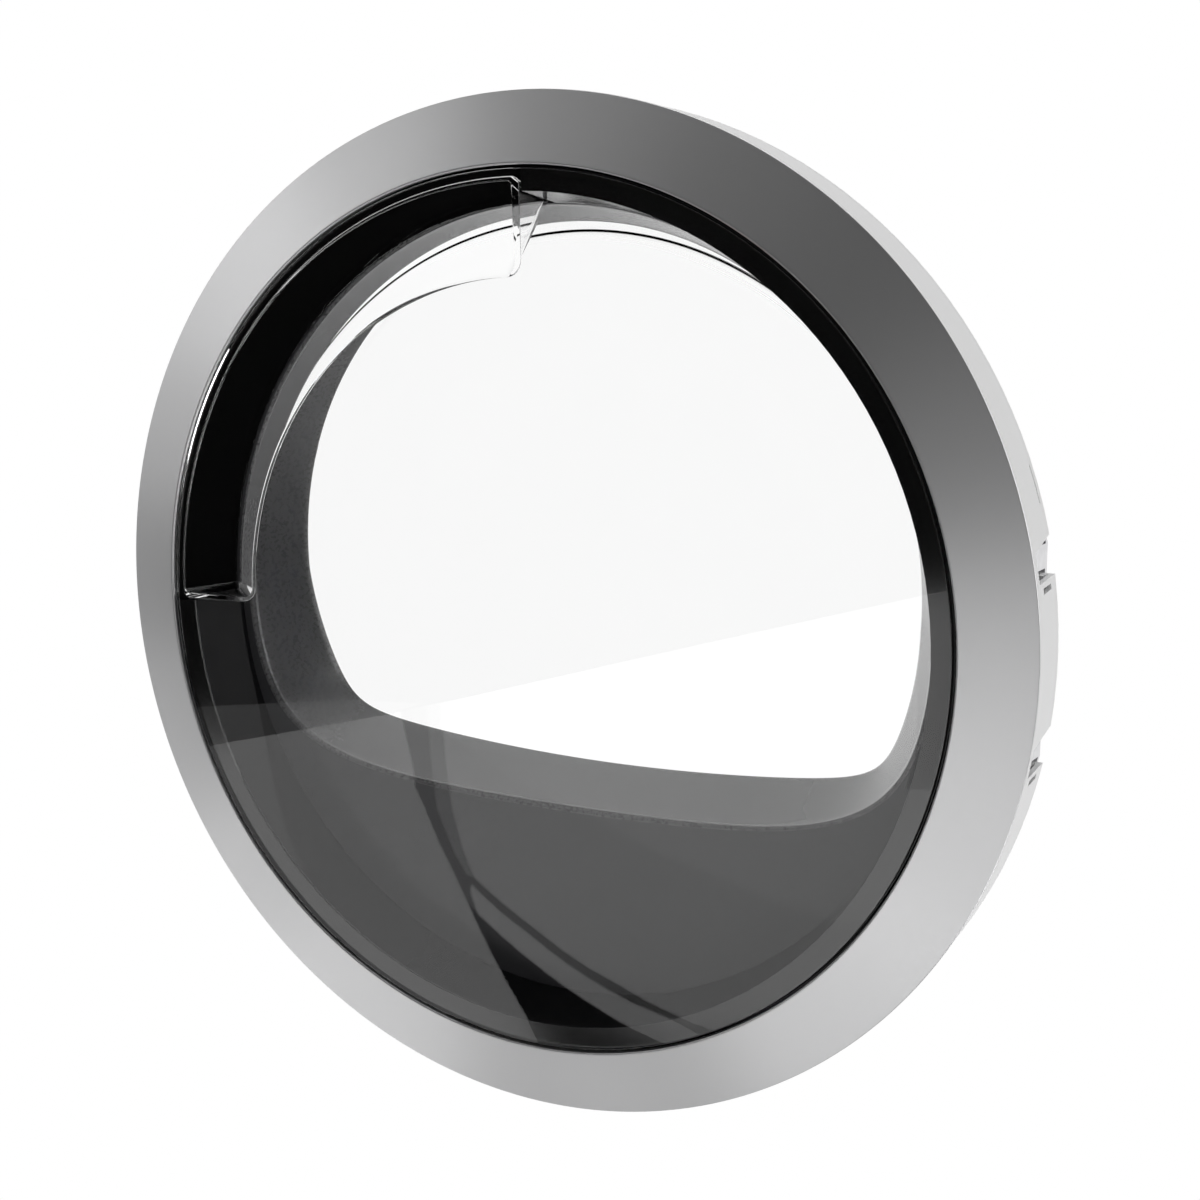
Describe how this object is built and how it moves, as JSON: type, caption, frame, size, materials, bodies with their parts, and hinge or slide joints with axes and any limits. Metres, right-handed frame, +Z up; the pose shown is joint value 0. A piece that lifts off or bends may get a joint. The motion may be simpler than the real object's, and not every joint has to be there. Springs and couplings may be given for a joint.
{
  "type": "dryer door",
  "caption": "Round tumble dryer door with a clear front pane, a moulded grip pocket, a silver trim ring, a glass bowl and a side hinge.",
  "frame": {"origin": "middle of the hinge plate's back face, between its four fixing holes", "axes": "+Z up, +Y from the door into the cabinet, +X from the door's middle towards its hinge side"},
  "size_m": [0.4799, 0.1085, 0.48],
  "materials": {
    "silver_trim": "satin silver",
    "white_shell": "satin white",
    "black_gloss": "gloss black",
    "tape": "black foam",
    "clear_pane": "clear moulded pane",
    "dark_frame": "satin dark grey",
    "clear_glass": "clear glass",
    "black_rubber": "soft",
    "grey_rubber": "soft",
    "zinc_steel": "zinc plated",
    "spring_steel": "blackened",
    "hook_plastic": "satin grey",
    "bush_plastic": "natural"
  },
  "bodies": {
    "cabinet_leaf": {"hinge_plate": "zinc_steel", "upper_bushes": "bush_plastic", "lower_bushes": "bush_plastic"},
    "door": {"trim_ring": "silver_trim", "outer_shell": "white_shell", "pane_carrier": "black_gloss", "pane_tape": "tape", "front_pane": "clear_pane", "inner_frame": "dark_frame", "glass_seal": "black_rubber", "glass_bowl": "clear_glass", "glass_clamp": "white_shell", "rear_frame": "white_shell", "door_seal": "grey_rubber", "buffers": "black_rubber", "frame_screws": "zinc_steel", "carrier_screws": "zinc_steel", "latch_hook": "hook_plastic", "latch_plate": "zinc_steel", "latch_screws": "zinc_steel", "hinge_bracket": "zinc_steel", "hinge_screws": "zinc_steel", "hinge_pin": "zinc_steel", "hinge_clip": "spring_steel"}
  },
  "joints": [
    {"name": "door_swing", "type": "hinge", "parent": "cabinet_leaf", "child": "door", "pos_m": [0.0095, -0.0265, 0], "axis": [0, 0, 1], "range_deg": [0, 110]}
  ]
}
